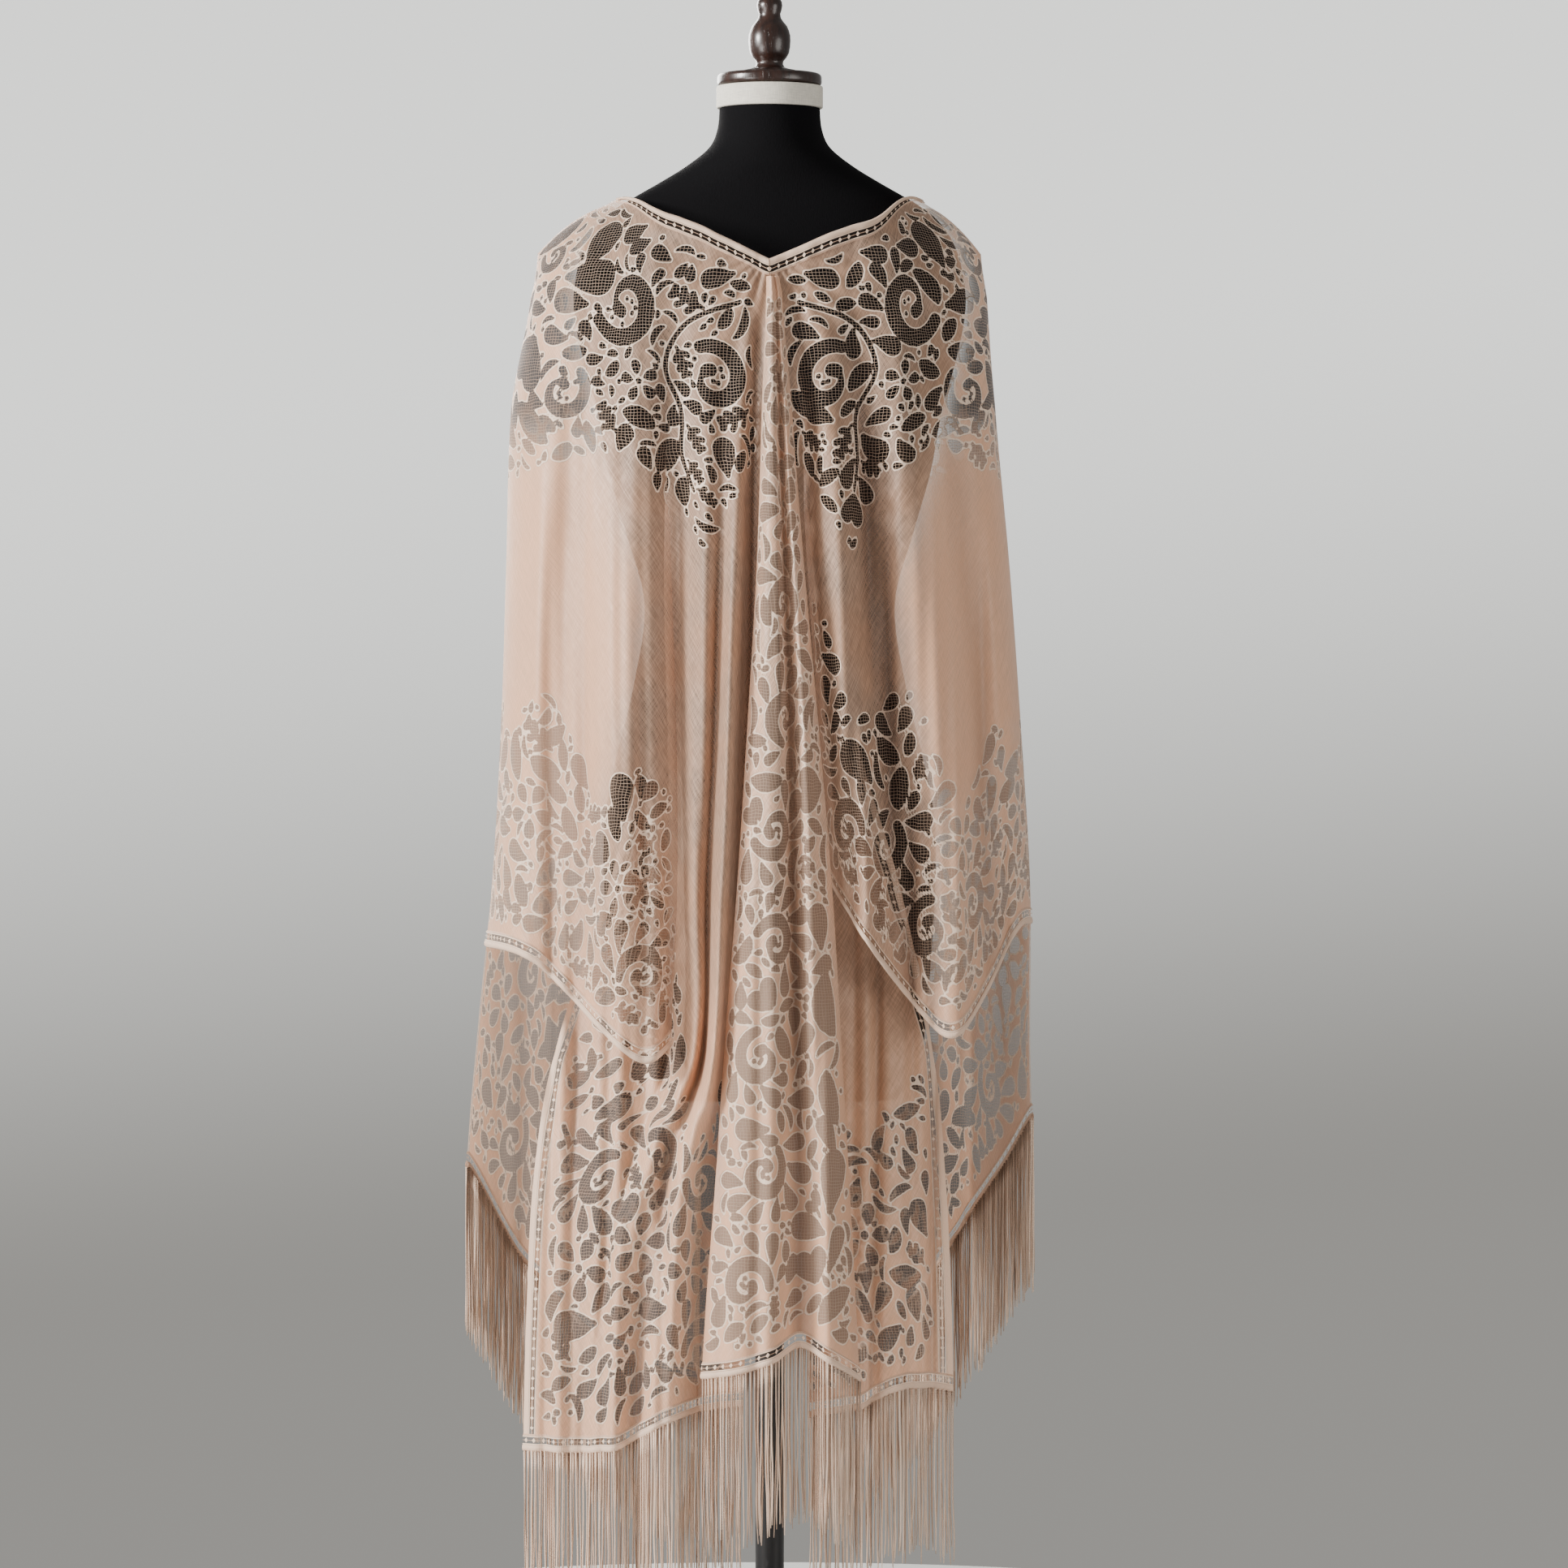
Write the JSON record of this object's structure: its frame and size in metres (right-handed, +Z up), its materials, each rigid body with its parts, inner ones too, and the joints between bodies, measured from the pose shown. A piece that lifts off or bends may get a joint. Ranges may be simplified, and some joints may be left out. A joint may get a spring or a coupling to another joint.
{
  "type": "fringed lace shawl on a dress form",
  "caption": "Sheer lace shawl with a back cascade, open sleeve folds and long fringe, worn open on a limbless dress form.",
  "frame": {"origin": "centre of the underside of the stand's base", "axes": "+Z up, +Y away from the viewer towards the shawl's open front, +X to the viewer's right with the shawl's back in view"},
  "size_m": [0.5551, 0.366, 1.6186],
  "materials": {
    "lace": "sheer blush knit lace",
    "trim": "blush ladder trim and silky fringe",
    "form_cover": "matt black jersey",
    "neck_cover": "cream linen",
    "dark_wood": "dark polished",
    "stand_metal": "satin black"
  },
  "bodies": {
    "root": {"back_left": "lace", "back_right": "lace", "front_left": "lace", "front_right": "lace", "cascade": "lace", "neck_band_left": "trim", "neck_band_right": "trim", "sleeve_band_left": "trim", "sleeve_band_right": "trim", "hem_band_left": "trim", "hem_band_right": "trim", "front_hem_band_left": "trim", "front_hem_band_right": "trim", "cascade_band": "trim", "fringe_back_left": "trim", "fringe_back_right": "trim", "fringe_front_left": "trim", "fringe_front_right": "trim", "fringe_cascade": "trim", "torso": "form_cover", "neck": "neck_cover", "neck_cap": "dark_wood", "finial": "dark_wood", "pole_socket": "stand_metal", "pole": "stand_metal", "base": "stand_metal"}
  },
  "joints": []
}
